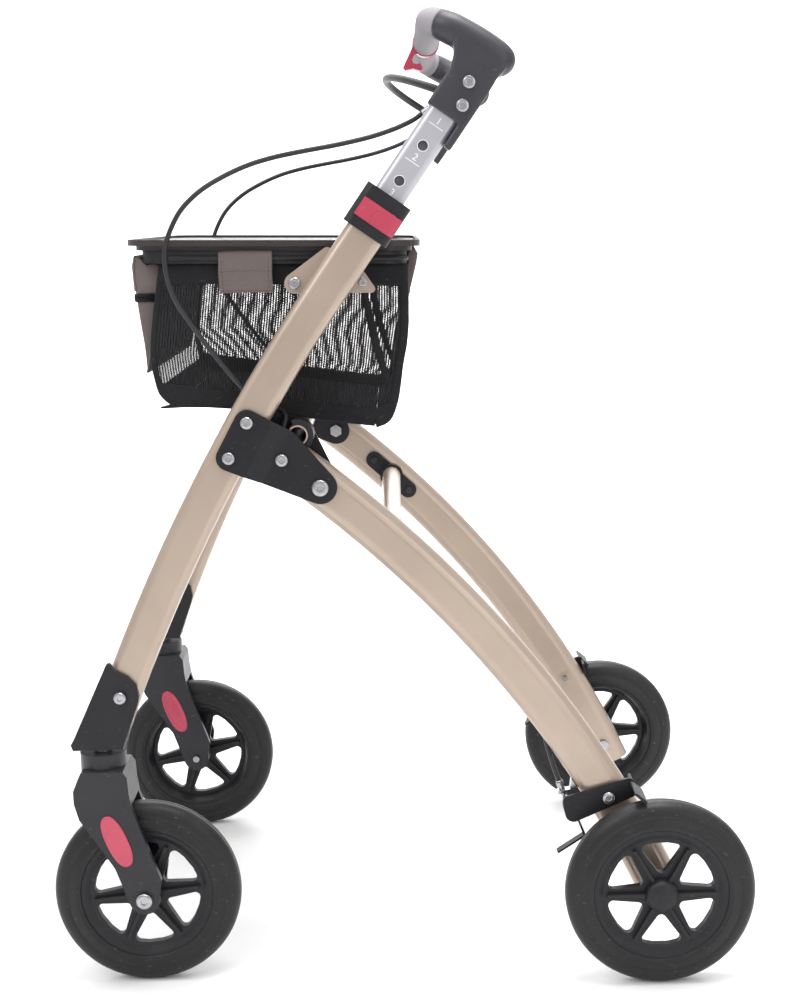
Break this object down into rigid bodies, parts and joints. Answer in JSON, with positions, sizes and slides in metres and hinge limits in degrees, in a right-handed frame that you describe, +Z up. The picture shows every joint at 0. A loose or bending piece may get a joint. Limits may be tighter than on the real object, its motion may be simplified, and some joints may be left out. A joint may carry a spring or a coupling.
{
  "type": "rollator walker",
  "caption": "Four-wheeled rollator with height-adjustable handlebar, one-hand brake bar, lift-off tray and basket, swivelling front wheels and folding rear legs.",
  "frame": {"origin": "on the floor, midway between the wheels", "axes": "+Z up, -Y the way the walker is pushed, +X the user's left"},
  "size_m": [0.5602, 0.708, 0.9625],
  "materials": {
    "champagne_paint": "satin metallic",
    "black_metal": "satin powder coat",
    "black_plastic": "fine grain",
    "fork_plastic": "satin",
    "silver_tube": "brushed, clear anodised",
    "steel": "zinc plated",
    "black_screw": "black oxide",
    "bright_fitting": "polished",
    "grip_plastic": "soft grain",
    "soft_sleeve": "soft foam",
    "red_plastic": "gloss",
    "tyre_rubber": "matt",
    "cable_jacket": "satin",
    "tray_plastic": "satin",
    "basket_mesh": "open mesh",
    "taupe_fabric": "plain weave"
  },
  "bodies": {
    "frame": {"front_tube_left": "champagne_paint", "front_tube_right": "champagne_paint", "height_collars": "black_plastic", "hinge_plates_outer": "black_metal", "hinge_plates_inner": "black_metal", "upper_cross_tube": "champagne_paint", "plate_spacers": "steel", "caster_sockets": "black_plastic", "caster_stems": "steel", "tray_brackets": "champagne_paint", "frame_screws": "steel", "frame_nuts": "steel", "pivot_bolts": "steel", "brake_cables_upper": "cable_jacket"},
    "handlebar": {"handle_tubes": "silver_tube", "handle_left": "grip_plastic", "handle_right": "grip_plastic", "crossbar_core": "steel", "crossbar_sleeve": "soft_sleeve", "handle_screws": "steel", "cable_ferrules": "bright_fitting", "brake_bar_pins": "steel"},
    "brake_bar": {"brake_bar": "black_metal"},
    "lock_hook": {"lock_hook": "red_plastic"},
    "button_left": {"button_left": "red_plastic"},
    "button_right": {"button_right": "red_plastic"},
    "rear_legs": {"rear_leg_left": "champagne_paint", "rear_leg_right": "champagne_paint", "leg_saddles": "black_plastic", "lower_cross_tube": "champagne_paint", "cross_flanges": "black_plastic", "flange_screws": "black_screw", "brake_cables_lower": "cable_jacket", "cable_stops": "steel", "barrel_adjusters": "bright_fitting", "rear_axles": "steel", "brake_pivots": "steel"},
    "brake_arm_left": {"brake_arm_left": "black_metal", "brake_shoe_left": "steel"},
    "rear_wheel_left": {"rear_tyre_left": "tyre_rubber", "rear_rim_left": "black_plastic", "rear_hub_left": "black_plastic"},
    "caster_left": {"fork_left": "fork_plastic", "front_axle_left": "steel"},
    "front_wheel_left": {"front_tyre_left": "tyre_rubber", "front_rim_left": "black_plastic"},
    "brake_arm_right": {"brake_arm_right": "black_metal", "brake_shoe_right": "steel"},
    "rear_wheel_right": {"rear_tyre_right": "tyre_rubber", "rear_rim_right": "black_plastic", "rear_hub_right": "black_plastic"},
    "caster_right": {"fork_right": "fork_plastic", "front_axle_right": "steel"},
    "front_wheel_right": {"front_tyre_right": "tyre_rubber", "front_rim_right": "black_plastic"},
    "basket": {"basket_frame": "black_plastic", "basket_bag": "basket_mesh", "basket_pocket": "taupe_fabric", "basket_tabs": "taupe_fabric"},
    "tray": {"tray": "tray_plastic"}
  },
  "joints": [
    {"name": "handle_height", "type": "slide", "parent": "frame", "child": "handlebar", "axis": [0, 0.5835, 0.8121], "range_m": [-0.04, 0.079], "deforming": ["brake_cables_upper"]},
    {"name": "brake_squeeze", "type": "hinge", "parent": "handlebar", "child": "brake_bar", "pos_m": [0, 0.06, 0.884], "axis": [1, 0, 0], "range_deg": [-24, 0], "stiffness_Nm_per_rad": 2.5, "springref_deg": 17.19},
    {"name": "lock_hook_turn", "type": "hinge", "parent": "handlebar", "child": "lock_hook", "pos_m": [0, 0.0505, 0.948], "axis": [1, 0, 0], "range_deg": [0, 25]},
    {"name": "button_press_left", "type": "slide", "parent": "frame", "child": "button_left", "axis": [-1, 0, 0], "range_m": [0, 0.003], "stiffness_N_per_m": 600, "springref_m": -0.003},
    {"name": "button_press_right", "type": "slide", "parent": "frame", "child": "button_right", "axis": [1, 0, 0], "range_m": [0, 0.003], "stiffness_N_per_m": 600, "springref_m": -0.003},
    {"name": "rear_leg_fold", "type": "hinge", "parent": "frame", "child": "rear_legs", "pos_m": [0, -0.0675, 0.509], "axis": [1, 0, 0], "range_deg": [-43, 0]},
    {"name": "rear_wheel_roll_left", "type": "hinge", "parent": "rear_legs", "child": "rear_wheel_left", "pos_m": [0.257, 0.259, 0.095], "axis": [1, 0, 0], "continuous": true},
    {"name": "brake_arm_turn_left", "type": "hinge", "parent": "rear_legs", "child": "brake_arm_left", "pos_m": [0.214, 0.21116, 0.18505], "axis": [1, 0, 0], "range_deg": [-1.7, 0], "stiffness_Nm_per_rad": 4, "springref_deg": 2.86},
    {"name": "caster_swivel_left", "type": "hinge", "parent": "frame", "child": "caster_left", "pos_m": [0.219, -0.297, 0.22], "axis": [0, 0, 1], "continuous": true},
    {"name": "front_wheel_roll_left", "type": "hinge", "parent": "caster_left", "child": "front_wheel_left", "pos_m": [0.219, -0.259, 0.095], "axis": [1, 0, 0], "continuous": true},
    {"name": "rear_wheel_roll_right", "type": "hinge", "parent": "rear_legs", "child": "rear_wheel_right", "pos_m": [-0.257, 0.259, 0.095], "axis": [1, 0, 0], "continuous": true},
    {"name": "brake_arm_turn_right", "type": "hinge", "parent": "rear_legs", "child": "brake_arm_right", "pos_m": [-0.214, 0.21116, 0.18505], "axis": [1, 0, 0], "range_deg": [-1.7, 0], "stiffness_Nm_per_rad": 4, "springref_deg": 2.86},
    {"name": "caster_swivel_right", "type": "hinge", "parent": "frame", "child": "caster_right", "pos_m": [-0.219, -0.297, 0.22], "axis": [0, 0, 1], "continuous": true},
    {"name": "front_wheel_roll_right", "type": "hinge", "parent": "caster_right", "child": "front_wheel_right", "pos_m": [-0.219, -0.259, 0.095], "axis": [1, 0, 0], "continuous": true},
    {"name": "basket_lift", "type": "slide", "parent": "frame", "child": "basket", "axis": [0, -0.6, 0.8], "range_m": [0, 0.12]},
    {"name": "tray_lift", "type": "slide", "parent": "basket", "child": "tray", "axis": [0, -0.6, 0.8], "range_m": [0, 0.15]}
  ],
  "couplings": [
    {"joint": "brake_arm_turn_left", "follows": "brake_squeeze", "ratio": 0.0667},
    {"joint": "brake_arm_turn_right", "follows": "brake_squeeze", "ratio": 0.0667}
  ]
}
